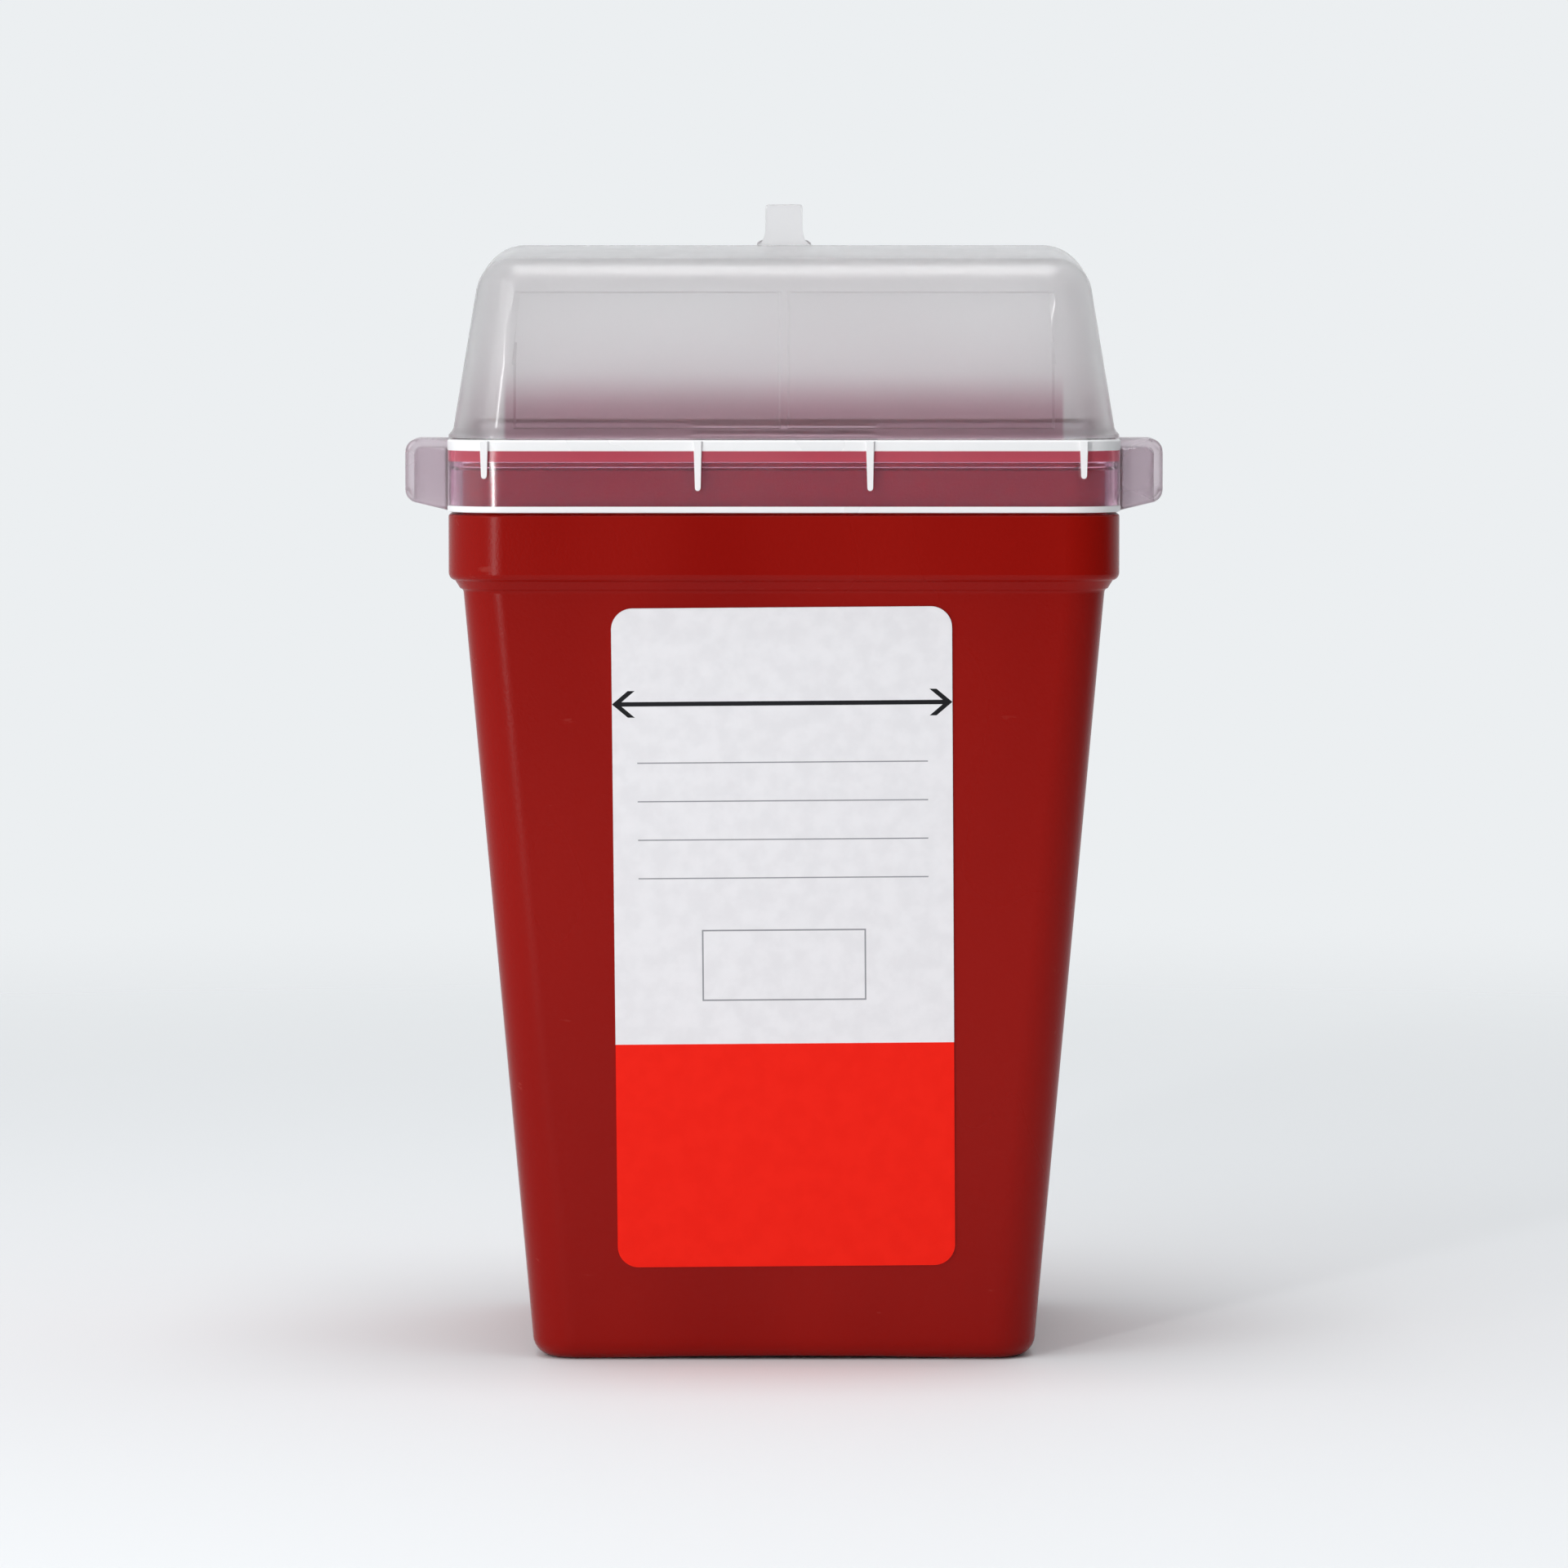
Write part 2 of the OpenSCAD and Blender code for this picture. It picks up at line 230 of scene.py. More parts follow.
def combine(base, tool, operation="UNION"):
    """Joins or cuts base with tool, which is used up."""
    mod = base.modifiers.new("combine", "BOOLEAN")
    mod.operation = operation
    mod.object = tool
    mod.solver = "MANIFOLD"
    graph = bpy.context.evaluated_depsgraph_get()
    old = base.data
    base.data = bpy.data.meshes.new_from_object(base.evaluated_get(graph))
    base.modifiers.clear()
    bpy.data.meshes.remove(old)
    bpy.data.objects.remove(tool)


def mirrored(obj):
    """A copy of obj on the other side of the YZ plane."""
    bm = bmesh.new()
    bm.from_mesh(obj.data)
    bm.transform(Matrix.Scale(-1, 4, (1, 0, 0)))
    return from_bmesh(obj.name + "_mirrored", bm)


def finish_surface(obj, angle=SHARP):
    """Cleans a solid's mesh and shades it smooth between sharp edges, by the weight of its large faces."""
    bm = bmesh.new()
    bm.from_mesh(obj.data)
    bmesh.ops.triangulate(bm, faces=[f for f in bm.faces if len(f.verts) > 4])
    bm.to_mesh(obj.data)
    bm.free()
    for p in obj.data.polygons:
        p.use_smooth = True
    obj.data.set_sharp_from_angle(angle=angle)
    mod = obj.modifiers.new("weighted", "WEIGHTED_NORMAL")
    mod.keep_sharp = True


def round_points(cx, cy, r, start, end, steps):
    return [(cx + r * math.cos(a), cy + r * math.sin(a)) for a in arc(start, end, steps)]


# ---------------------------------------------------------------- materials


def node_material(name, colour, roughness, **plain):
    mat = bpy.data.materials.new(name)
    mat.use_nodes = True
    shader = mat.node_tree.nodes["Principled BSDF"]
    shader.inputs["Base Color"].default_value = (*colour, 1)
    shader.inputs["Roughness"].default_value = roughness
    for key, value in plain.items():
        shader.inputs[key.replace("_", " ")].default_value = value
    return mat, mat.node_tree, shader


def add(tree, kind, **settings):
    node = tree.nodes.new(kind)
    for key, value in settings.items():
        if key in node.inputs:
            node.inputs[key].default_value = value
        else:
            setattr(node, key, value)
    return node


def noise(tree, coords, scale, detail, stretch=None):
    vector = coords
    if stretch:
        mapping = add(tree, "ShaderNodeMapping")
        mapping.inputs["Scale"].default_value = stretch
        tree.links.new(coords, mapping.inputs["Vector"])
        vector = mapping.outputs["Vector"]
    node = add(tree, "ShaderNodeTexNoise", Scale=scale, Detail=detail)
    tree.links.new(vector, node.inputs["Vector"])
    return node.outputs["Fac"]


def spread(tree, value, low, high, from_low=0.3, from_high=0.7):
    node = add(tree, "ShaderNodeMapRange", interpolation_type="SMOOTHSTEP")
    for key, v in zip(("From Min", "From Max", "To Min", "To Max"), (from_low, from_high, low, high)):
        node.inputs[key].default_value = v
    tree.links.new(value, node.inputs["Value"])
    return node.outputs["Result"]


def blend(tree, factor, a, b):
    """A colour between a and b. Each is a colour or a socket."""
    node = add(tree, "ShaderNodeMix", data_type="RGBA")
    tree.links.new(factor, node.inputs["Factor"])
    for socket, value in ((node.inputs[6], a), (node.inputs[7], b)):
        if isinstance(value, tuple):
            socket.default_value = (*value, 1)
        else:
            tree.links.new(value, socket)
    return node.outputs[2]


def bump(tree, shader, height, distance, strength):
    node = add(tree, "ShaderNodeBump", Strength=strength, Distance=distance)
    tree.links.new(height, node.inputs["Height"])
    tree.links.new(node.outputs["Normal"], shader.inputs["Normal"])


def maths(tree, operation, a, b=None):
    node = add(tree, "ShaderNodeMath", operation=operation)
    for socket, value in zip(node.inputs, (a, b)):
        if value is None:
            continue
        if isinstance(value, (int, float)):
            socket.default_value = value
        else:
            tree.links.new(value, socket)
    return node.outputs[0]


def red_plastic():
    mat, tree, shader = node_material("red_polypropylene", (0.26, 0.004, 0.002), 0.25, Specular_IOR_Level=0.11)
    coords = add(tree, "ShaderNodeTexCoord").outputs["Object"]
    flow = noise(tree, coords, 28, 2.0, (1, 1, 0.35))
    colour = blend(tree, spread(tree, flow, 0, 1), (0.245, 0.0036, 0.0018), (0.28, 0.005, 0.0025))
    scuffs = noise(tree, coords, 420, 4.0, (0.3, 1, 1))
    worn = spread(tree, scuffs, 0, 1, 0.7, 0.82)
    colour = blend(tree, worn, colour, (0.3, 0.02, 0.014))
    tree.links.new(colour, shader.inputs["Base Color"])
    grain = noise(tree, coords, 2600, 2.0)
    rough = maths(tree, "ADD", spread(tree, flow, 0.23, 0.28), spread(tree, worn, 0, 0.15, 0, 1))
    tree.links.new(rough, shader.inputs["Roughness"])
    bump(tree, shader, grain, 0.00004, 0.5)
    return mat


def painted_red_light_mask(tree, coords):
    """Painted red light on the hood: how strongly red light from the tub below is painted into its colour, fully at
    its foot, not at all 10 mm up or round its corners.
    """
    split = add(tree, "ShaderNodeSeparateXYZ")
    tree.links.new(coords, split.inputs["Vector"])
    x, y = (maths(tree, "ABSOLUTE", split.outputs[axis]) for axis in "XY")
    flat = spread(tree, maths(tree, "MINIMUM", x, y), 1, 0, (PANEL_X + 0.9) * MM, (PANEL_X + 1.5) * MM)
    low = spread(tree, split.outputs["Z"], 1, 0, (HOOD_Z + 3) * MM, (HOOD_Z + 10) * MM)
    return maths(tree, "MULTIPLY", flat, low)


def milky_plastic(name, tint, cloud, roughness, transmission, grain_scale, painted_red_light=None, **plain):
    mat, tree, shader = node_material(name, tint, roughness, Transmission_Weight=transmission, IOR=1.33, **plain)
    coords = add(tree, "ShaderNodeTexCoord").outputs["Object"]
    swirl = noise(tree, coords, 45, 3.0)
    colour = blend(tree, spread(tree, swirl, 0, 1), tint, cloud)
    # paints red light from the tub below into the hood's foot
    if painted_red_light:
        colour = blend(tree, painted_red_light_mask(tree, coords), colour, painted_red_light)
    tree.links.new(colour, shader.inputs["Base Color"])
    tree.links.new(spread(tree, swirl, roughness - 0.04, roughness + 0.06), shader.inputs["Roughness"])
    bump(tree, shader, noise(tree, coords, grain_scale, 2.0), 0.00003, 0.4)
    return mat


RED = red_plastic()
FRAME_GRAIN = 900
# the frame's milky plastic, with copies of it that carry painted highlight, painted shade and painted red light
FRAME_LOOKS = (
    milky_plastic(
        "milky_frame",
        (0.95, 0.93, 0.98),
        (0.98, 0.96, 0.99),
        0.12,
        0.98,
        FRAME_GRAIN,
        Coat_Weight=0.5,
        Coat_Roughness=0.1,
    ),
    # edges and ribs: near-opaque white, partly the thick milky edge, partly a painted highlight
    milky_plastic("milky_frame_thick_edge_and_highlight", (0.93, 0.935, 0.94), (0.96, 0.965, 0.97), 0.3, 0.1, FRAME_GRAIN),
    # the ears: a darker copy of the milky plastic, painted shade
    milky_plastic("milky_frame_ear_shaded", (0.73, 0.65, 0.7), (0.79, 0.71, 0.76), 0.3, 0.85, FRAME_GRAIN),
    # the band under the deck: painted red light, from the tub's bead behind it
    milky_plastic("milky_frame_band_red_light", (0.97, 0.18, 0.26), (0.98, 0.22, 0.3), 0.14, 0.66, FRAME_GRAIN),
    # the skirt's outside: pink, painted red light from the tub behind it
    milky_plastic(
        "milky_frame_skirt_red_light",
        (0.98, 0.54, 0.75),
        (1, 0.59, 0.8),
        0.12,
        0.955,
        FRAME_GRAIN,
        Coat_Weight=1,
        Coat_Roughness=0.14,
    ),
)
THIN, THICK_EDGE_AND_HIGHLIGHT, EAR_SHADED, BAND_RED_LIGHT, SKIRT_RED_LIGHT = range(len(FRAME_LOOKS))
HOOD_SKIN = milky_plastic(
    "frosted_hood",
    (0.93, 0.915, 0.92),
    (0.955, 0.94, 0.945),
    0.4,
    0.955,
    1200,
    # painted red light from the tub below, at the hood's foot
    painted_red_light=(0.7, 0.5, 0.56),
    Coat_Weight=0.5,
    Coat_Roughness=0.12,
)

# ---------------------------------------------------------------- tub


def tub_half(z):
    return BASE_HALF + SLOPE * z


def build_tub():
    marks = even_marks(29.5, 25)
    arch_half, arch_rise = 26, 0.5
    arch_r = (arch_half**2 + arch_rise**2) / (2 * arch_rise)
    step_in_r, step_out_r = 0.6, 1.1

    def ring(half, r, z, arched=False):
        points = []
        for x, y, nx, ny in rounded_outline(half, r, marks):
            along = y if abs(nx) > 0.999 else x
            lift = 0
            if arched and max(abs(nx), abs(ny)) > 0.999:
                lift = max(0, arch_rise - arch_r + math.sqrt(arch_r**2 - along**2))
            points.append((x, y, max(z, lift)))
        return points

    rings = []
    edge = tub_half(BASE_EDGE_R)
    # underside, with a shallow sunk panel
    for half, z in ((1.5, 0.35), (10, 0.35), (24, 0.35), (24.4, 0.25), (25, 0.05), (25.4, 0)):
        rings.append(ring(half, min(half * 0.4, 5), z))
    inner_half = edge - BASE_EDGE_R - 3.4
    rings.append(ring(inner_half, 3.2, 0))
    rings.append(ring(inner_half + 0.05, 3.2, 0, True))
    for a in arc(-90, -5, 8):
        half = edge - BASE_EDGE_R + BASE_EDGE_R * math.cos(a)
        r = BASE_R - BASE_EDGE_R + BASE_EDGE_R * math.cos(a)
        rings.append(ring(half, r, BASE_EDGE_R + BASE_EDGE_R * math.sin(a), True))
    # tapered wall
    steps = 10
    top = BODY_H - 1.2
    for i in range(steps + 1):
        z = BASE_EDGE_R + (top - BASE_EDGE_R) * i / steps
        r = BASE_R + (SHOULDER_R - BASE_R) * z / BODY_H
        rings.append(ring(tub_half(z), r, z))
    # rounded step up to the collar
    for a in arc(180, 100, 4):
        out = step_in_r * (1 + math.cos(a))
        rings.append(ring(tub_half(top) + out, SHOULDER_R + out, top + step_in_r * math.sin(a)))
    for a in arc(-80, 0, 5):
        out = step_out_r * (1 - math.cos(a))
        z = BODY_H + 0.5 + step_out_r * (1 + math.sin(a))
        rings.append(ring(COLLAR_HALF - out, COLLAR_R - out, z))
    top_edge = 0.35
    for a in arc(0, 90, 3):
        out = top_edge * (1 - math.cos(a))
        rings.append(ring(COLLAR_HALF - out, COLLAR_R - out, COLLAR_Z - top_edge * (1 - math.sin(a))))
    neck_r = SKIRT_R - (SKIRT_HALF - NECK_HALF)
    bead_out = 0.8
    for out, z in (
        (0.3, COLLAR_Z),
        (0, COLLAR_Z + 0.3),
        (0, RIM_Z - BEAD_H - 0.5),
        (0.15, RIM_Z - BEAD_H - 0.1),
        (bead_out - 0.1, RIM_Z - BEAD_H + 0.2),
        (bead_out, RIM_Z - BEAD_H + 0.5),
        (bead_out, RIM_Z - 0.5),
        (bead_out - 0.15, RIM_Z - 0.15),
        (bead_out - 0.5, RIM_Z),
    ):
        rings.append(ring(NECK_HALF + out, neck_r + out, z))
    # mouth and inside
    mouth_half, mouth_r = SHOULDER_HALF - TUB_WALL, SHOULDER_R - TUB_WALL
    mouth = ((-0.4, RIM_Z), (-0.1, RIM_Z - 0.12), (0, RIM_Z - 0.4), (0, BODY_H + 0.3), (0.03, BODY_H - 0.6))
    for back, z in mouth:
        rings.append(ring(mouth_half - back, mouth_r - back, z))
    floor_r, steps = 2.2, 8
    low = FLOOR_T + floor_r
    for i in range(steps, -1, -1):
        z = low + (BODY_H - 2 - low) * i / steps
        r = BASE_R - TUB_WALL + (SHOULDER_R - BASE_R) * z / BODY_H
        rings.append(ring(tub_half(z) - TUB_WALL, r, z))
    for a in arc(0, -90, 6):
        out = floor_r * (1 - math.cos(a))
        rings.append(ring(tub_half(low) - TUB_WALL - out, BASE_R - TUB_WALL - out, low + floor_r * math.sin(a)))
    for half in (24, 12, 2):
        rings.append(ring(half, min(half * 0.4, 3), FLOOR_T))
    obj = from_bmesh("tub_body", loft(rings))
    obj.data.materials.append(RED)
    finish_surface(obj, math.radians(40))
    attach(obj, "container")
    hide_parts("tub")


# ---------------------------------------------------------------- lid frame


def frame_ring():
    marks = even_marks(37, 9)
    deck_low = RIM_Z
    ridge_top = RIM_Z - BEAD_H - 0.1
    profile = [(0.3, SKIRT_Z), (0.08, SKIRT_Z + 0.08), (0, SKIRT_Z + 0.3), (0, SKIRT_Z + 0.75)]
    profile += [(0.08, SKIRT_Z + 0.9), (0.08, deck_low - 1.8), (0.08, deck_low - 0.25)]
    profile += [(0, deck_low), (0, DECK_Z - 0.35)]
    profile += [(0.35 * (1 - math.cos(a)), DECK_Z - 0.35 * (1 - math.sin(a))) for a in arc(25, 90, 3)]
    coaming = SKIRT_HALF - PLUG_HALF
    profile += [(coaming - 0.4 * math.sin(a), DECK_Z + 0.4 * (1 - math.cos(a))) for a in arc(90, 0, 4)]
    top = DECK_Z + COAMING_H
    mid = coaming + PLUG_T / 2
    profile += [(mid - PLUG_T / 2 * math.cos(a), top - 0.6 * (1 - math.sin(a))) for a in arc(0, 180, 8)]
    inner = coaming + PLUG_T
    bottom = RIM_Z - PLUG_D
    profile += [(inner, RIM_Z), (inner, bottom + 0.3), (inner - 0.3, bottom), (coaming + 0.4, bottom)]
    profile += [(coaming, bottom + 0.5), (coaming, deck_low)]
    profile += [(SKIRT_T + 0.3, deck_low), (SKIRT_T, deck_low - 0.3), (SKIRT_T, ridge_top + 0.1)]
    profile += [(SKIRT_T + 0.5, ridge_top), (SKIRT_T + 0.6, ridge_top - 0.15), (SKIRT_T + 0.6, ridge_top - 0.6)]
    profile += [(SKIRT_T, ridge_top - 1.1), (SKIRT_T, SKIRT_Z + 0.4), (SKIRT_T - 0.3, SKIRT_Z)]
    rings = []
    for d, z in profile:
        half, r = SKIRT_HALF - d, max(SKIRT_R - d, 0.8)
        rings.append([(x, y, z) for x, y, _, _ in rounded_outline(half, r, marks)])
    bm = loft(rings, closed=True)
    bm.faces.ensure_lookup_table()
    for i, face in enumerate(bm.faces):
        step = i // len(rings[0])
        (d0, z0), (d1, z1) = profile[step], profile[(step + 1) % len(profile)]
        outside, low, high = max(d0, d1) < 0.4, min(z0, z1), max(z0, z1)
        # the deck's edge and the skirt's foot get the near-opaque white look, partly a painted highlight
        if outside and (low > deck_low - 0.3 or high < SKIRT_Z + 0.95):
            face.material_index = THICK_EDGE_AND_HIGHLIGHT
        # the band under the deck and the skirt's outside get painted red light from the tub behind them
        elif outside:
            face.material_index = BAND_RED_LIGHT if low > deck_low - 2 else SKIRT_RED_LIGHT
    obj = from_bmesh("lid_frame_shell", bm)
    for look in FRAME_LOOKS:
        obj.data.materials.append(look)
    return obj


def with_look(obj, index):
    """Gives all of a frame part's faces one of FRAME_LOOKS."""
    obj.data.materials.clear()
    for look in FRAME_LOOKS:
        obj.data.materials.append(look)
    for p in obj.data.polygons:
        p.material_index = index
    return obj


def frame_ledge():
    """The needle unwinder ledge across the rear of the opening, with its slot."""
    depth, end_r, mouth, slot_l = 18, 2.8, 5.5, 12
    front, back = OPEN_HALF - depth, OPEN_HALF + PLUG_T / 2
    side = OPEN_HALF + PLUG_T / 2
    centre = front + slot_l - end_r
    outline = [(-side, back), (-side, front)]
    outline += [(-mouth - 1.2, front), (-mouth - 0.3, front + 0.35), (-mouth + 0.25, front + 1.2)]
    outline += round_points(0, centre, end_r, 180, 0, 20)
    outline += [(mouth - 0.25, front + 1.2), (mouth + 0.3, front + 0.35), (mouth + 1.2, front)]
    outline += [(side, front), (side, back)]
    return prism("ledge", outline, DECK_T, place(0, 0, RIM_Z, UPRIGHT), 0.25)


def grip_ear():
    """The right ear: a hollow grip that is open underneath."""
    inside, out, length, wall, set_back = SKIRT_T / 2, 6.0, 13, 1.2, 9.6
    height = DECK_Z - SKIRT_Z
    r, slant, hollow_r = 1.8, 1.2, 0.9
    outline = [(-inside, 0)]
    outline += round_points(out - r, slant + r, r, -72, 0, 6)
    outline += round_points(out - r, height - r, r, 0, 90, 8)
    outline += [(-inside, height)]
    rear = SKIRT_HALF - set_back - length
    ear = prism("ear", outline, length, place(SKIRT_HALF, -rear, SKIRT_Z, FACING_FRONT), 0.55, 4)
    hollow = [(0.1, -1), (out - wall, -1)]
    hollow += round_points(out - wall - hollow_r, height - wall - hollow_r, hollow_r, 0, 90, 5)
    hollow += [(0.1, height - wall)]
    at = place(SKIRT_HALF, -rear - wall, SKIRT_Z, FACING_FRONT)
    cut = prism("ear_hollow", hollow, length - 2 * wall, at, 0.4)
    combine(ear, cut, "DIFFERENCE")
    return ear


def skirt_rib(x, length, turn):
    end_r, half_w, root, out = 0.4, 0.6, 1.0, 0.4
    outline = [(-half_w, 0), (-end_r, end_r - length)]
    outline += round_points(0, end_r - length, end_r, 180, 360, 8)[1:-1]
    outline += [(end_r, end_r - length), (half_w, 0)]
    at = place(x, root - SKIRT_HALF, DECK_Z - 0.15, FACING_FRONT)
    return prism("rib", outline, root + out, Matrix.Rotation(math.radians(turn), 4, "Z") @ at, 0.12, 2)


def hinge_lug():
    lug_r, bore_r, foot = 2.9, 1.31, SKIRT_T / 2
    rear = SKIRT_HALF
    outline = [(rear - foot, SKIRT_Z + 1.5), (rear, SKIRT_Z + 1.5), (axis_y + lug_r, axis_z - 1)]
    outline += round_points(axis_y, axis_z, lug_r, 0, 180, 24)
    outline += [(axis_y - lug_r, DECK_Z + 0.3), (axis_y - lug_r - 0.25, DECK_Z), (rear - foot, DECK_Z)]
    lug = prism("lug", outline, KNUCKLE_W, place(HINGE_X, 0, 0, SIDEWAYS), 0.2, 2)
    circle = round_points(axis_y, axis_z, bore_r, 0, 352.5, 47)
    bore = prism("bore", circle, KNUCKLE_W + 2, place(HINGE_X - 1, 0, 0, SIDEWAYS))
    combine(lug, bore, "DIFFERENCE")
    return lug


def build_lid_frame():
    rib_x, rib_l = 12.1, 7
    corner_rib_x, corner_rib_l = 42.1, 5.3
    obj = frame_ring()
    parts = [with_look(frame_ledge(), THIN)]
    # the ears get the darker look, painted shade
    for part, look in ((grip_ear(), EAR_SHADED), (hinge_lug(), THIN)):
        parts += [with_look(mirrored(part), look), with_look(part, look)]
    for turn in (0, 90, 180, 270):
        # the ribs get the near-opaque white look, partly a painted highlight
        parts += [with_look(skirt_rib(x, rib_l, turn), THICK_EDGE_AND_HIGHLIGHT) for x in (-rib_x, rib_x)]
    for turn in (0, 180):
        parts += [with_look(skirt_rib(x, corner_rib_l, turn), THICK_EDGE_AND_HIGHLIGHT) for x in (-corner_rib_x, corner_rib_x)]
    # the catch bead: half an ellipse in front of the coaming
    half_h, stretch = 0.5, 1.8
    outline = [(y * stretch, z) for y, z in round_points(0, 0, half_h, 90, 270, 8)] + [(0.6, -half_h), (0.6, half_h)]
    bead = prism("bead", outline, CATCH_W, place(-CATCH_W / 2, -PLUG_HALF, DECK_Z + 1.9, SIDEWAYS), 0.2, 2)
    parts.append(with_look(bead, THIN))
    for part in parts:
        combine(obj, part)
    finish_surface(obj)
    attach(obj, "container")
    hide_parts("lid_frame")


# ---------------------------------------------------------------- hood


def hood_marks():
    """Places along each side of the hood: the edges of the panels and of the rib, with some between them."""
    side = [PANEL_X, PANEL_X - 0.35, 28, 19, 10, RIB_HALF + 0.35, RIB_HALF]
    return [-m for m in side] + list(reversed(side))


def crown_drop(y):
    """How far the crowned top lies below its ridge at a distance y from it."""
    return CROWN * (min(abs(y), CROWN_REACH) / CROWN_REACH) ** 2


def hood_ring(inset, share, panel):
    """One ring of the hood's wall, inset into it. panel sinks the two front panels.

    share runs from 0 at the foot to 1 where the top edge starts to round.
    """
    round_r = HOOD_TOP_R - inset
    marks = hood_marks()
    r = HOOD_FOOT_R - inset + (HOOD_TOP_R + TOP_LINE_R - HOOD_FOOT_R) * share
    tangent = round_r * math.sin(DRAFT)
    points = []
    z = HOOD_Z + (RIDGE_Z - CROWN - HOOD_Z) * share
    for k in range(4 * (len(marks) + CORNER_STEPS + 1)):
        zk = z
        # the point's height and its place in the leaning wall depend on each other
        for _ in range(2):
            half = HOOD_HALF - inset / math.cos(DRAFT) - (zk - HOOD_Z) * math.tan(DRAFT)
            x, y, _, ny = rounded_outline(half, r, marks)[k]
            top = RIDGE_Z - crown_drop(y) + tangent
            zk = HOOD_Z + (top - HOOD_Z) * share
        sunk = PANEL_D if panel and ny < -0.999 and RIB_HALF + 0.1 < abs(x) < PANEL_X - 0.1 else 0
        points.append((x, y + sunk, zk))
    return points


def hood_top_rings(inset, steps):
    """The rings that round the top edge and run in to the middle of the crowned top."""
    round_r = HOOD_TOP_R - inset
    marks = hood_marks()
    first_half = 39  # half width that the search for each point starts from
    rings = []

    def centre(y):
        zc = RIDGE_Z - crown_drop(y)
        return zc, HOOD_HALF - (zc - HOOD_Z) * math.tan(DRAFT) - HOOD_TOP_R / math.cos(DRAFT)

    for a in arc(math.degrees(DRAFT), 90, steps)[1:]:
        out = round_r * math.cos(a)
        points = []
        for k, (_, y, _, _) in enumerate(rounded_outline(first_half, TOP_LINE_R + out, marks)):
            for _ in range(2):
                zc, edge = centre(y)
                x, y, _, _ = rounded_outline(edge + out, TOP_LINE_R + out, marks)[k]
            points.append((x, y, zc + round_r * math.sin(a)))
        rings.append(points)
    for share in (0.86, 0.68, 0.5, 0.34, 0.2, 0.08):
        points = []
        for x, y, _ in rings[steps - 1]:
            drop = CROWN * (y * share / CROWN_REACH) ** 2
            points.append((x * share, y * share, RIDGE_Z - drop + round_r))
        rings.append(points)
    return rings


def hood_shell():
    panel_low, panel_high = 1.6 / 22, 0.98  # where the sunk panels start and end, as shares of the wall
    walls = [panel_low, 0.2, 0.35, 0.5, 0.65, 0.8, panel_high, panel_high + 0.012, 1]
    outer = []
    foot = hood_ring(0, 0, False)
    flare = 0.45  # how far the foot stands out to the left and right

    def flared(points, out, z):
        sides = 30  # points further out than this are on the left or right
        return [(x + out * math.copysign(1, x) * (abs(x) > sides), y, z) for x, y, _ in points]

    outer.append(flared(foot, flare - 0.12, HOOD_Z))
    outer.append(flared(foot, flare, HOOD_Z + 0.12))
    outer.append(flared(foot, flare, HOOD_Z + 0.45))
    outer.append(flared(hood_ring(0, 0.04, False), 0.12, HOOD_Z + 0.95))
    outer.append(hood_ring(0, 0.065, False))
    for share in walls:
        outer.append(hood_ring(0, share, panel_low <= share <= panel_high))
    outer += hood_top_rings(0, 9)
    inner = [hood_ring(HOOD_T, 0, False)]
    for share in (0.1, 0.25, 0.4, 0.55, 0.7, 0.85, 1):
        inner.append(hood_ring(HOOD_T, share, False))
    inner += hood_top_rings(HOOD_T, 8)
    bm = loft(list(reversed(inner)) + outer)
    return from_bmesh("hood_shell", bm)


def thumb_tab():
    half, height, fillet, rise, sunk, thick = 2.7, 5.9, 1.4, 2.4, 0.6, 2.0
    lift = 0.04  # keeps the flare's foot clear of the hood's own surface
    outline = [(-half - fillet, -sunk)]
    outline += [(-half - fillet * (1 - math.sin(a)), lift + rise * (1 - math.cos(a))) for a in arc(0, 90, 8)]
    outline += [(-half, height - 0.4), (-half + 0.12, height - 0.12), (-half + 0.4, height)]
    outline += [(-x, y) for x, y in reversed(outline)]
    return prism("tab", outline, thick, place(0, thick / 2, HOOD_TOP, FACING_FRONT), 0.35, 3)


def hinge_arm():
    arm_r, heel_r, pin_r, pin_end = 2.5, 2, 1.25, 0.4
    root = HOOD_HALF - (axis_z - HOOD_Z + arm_r) * math.tan(DRAFT) - HOOD_T / 4
    end = hood_hi[1]
    outline = [(root, axis_z - arm_r), (end - 0.3, axis_z - arm_r), (end, axis_z - arm_r + 0.3)]
    outline += round_points(end - heel_r, axis_z + arm_r - heel_r, heel_r, 0, 90, 10)
    outline += [(root, axis_z + arm_r)]
    left = HINGE_X - SIDE_GAP - KNUCKLE_W
    arm = prism("arm", outline, KNUCKLE_W, place(left, 0, 0, SIDEWAYS), 0.3, 3)
    reach = KNUCKLE_W / 2 + SIDE_GAP + KNUCKLE_W + pin_end
    circle = round_points(axis_y, axis_z, pin_r, 0, 350, 35)
    pin = prism("pin", circle, reach, place(left + KNUCKLE_W / 2, 0, 0, SIDEWAYS), 0.2, 2)
    combine(arm, pin)
    return arm


def hood_catch():
    bead_reach, catch_gap = 0.9, 0.15
    tip = PLUG_HALF + bead_reach + catch_gap
    root = HOOD_HALF - HOOD_T / 2
    outline = [(-root, 0.2), (-tip - 0.25, 0.2), (-tip, 0.45), (-tip, 0.8), (-tip - 0.25, 1.05), (-root, 1.05)]
    return prism("catch", outline, CATCH_W, place(-CATCH_W / 2, 0, HOOD_Z, SIDEWAYS), 0.2, 2)


def build_hood():
    obj = hood_shell()
    combine(obj, thumb_tab())
    combine(obj, hood_catch())
    arm = hinge_arm()
    combine(obj, mirrored(arm))
    combine(obj, arm)
    obj.data.materials.clear()
    obj.data.materials.append(HOOD_SKIN)
    finish_surface(obj, math.radians(26))
    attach(obj, "hood")
    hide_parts("hood")


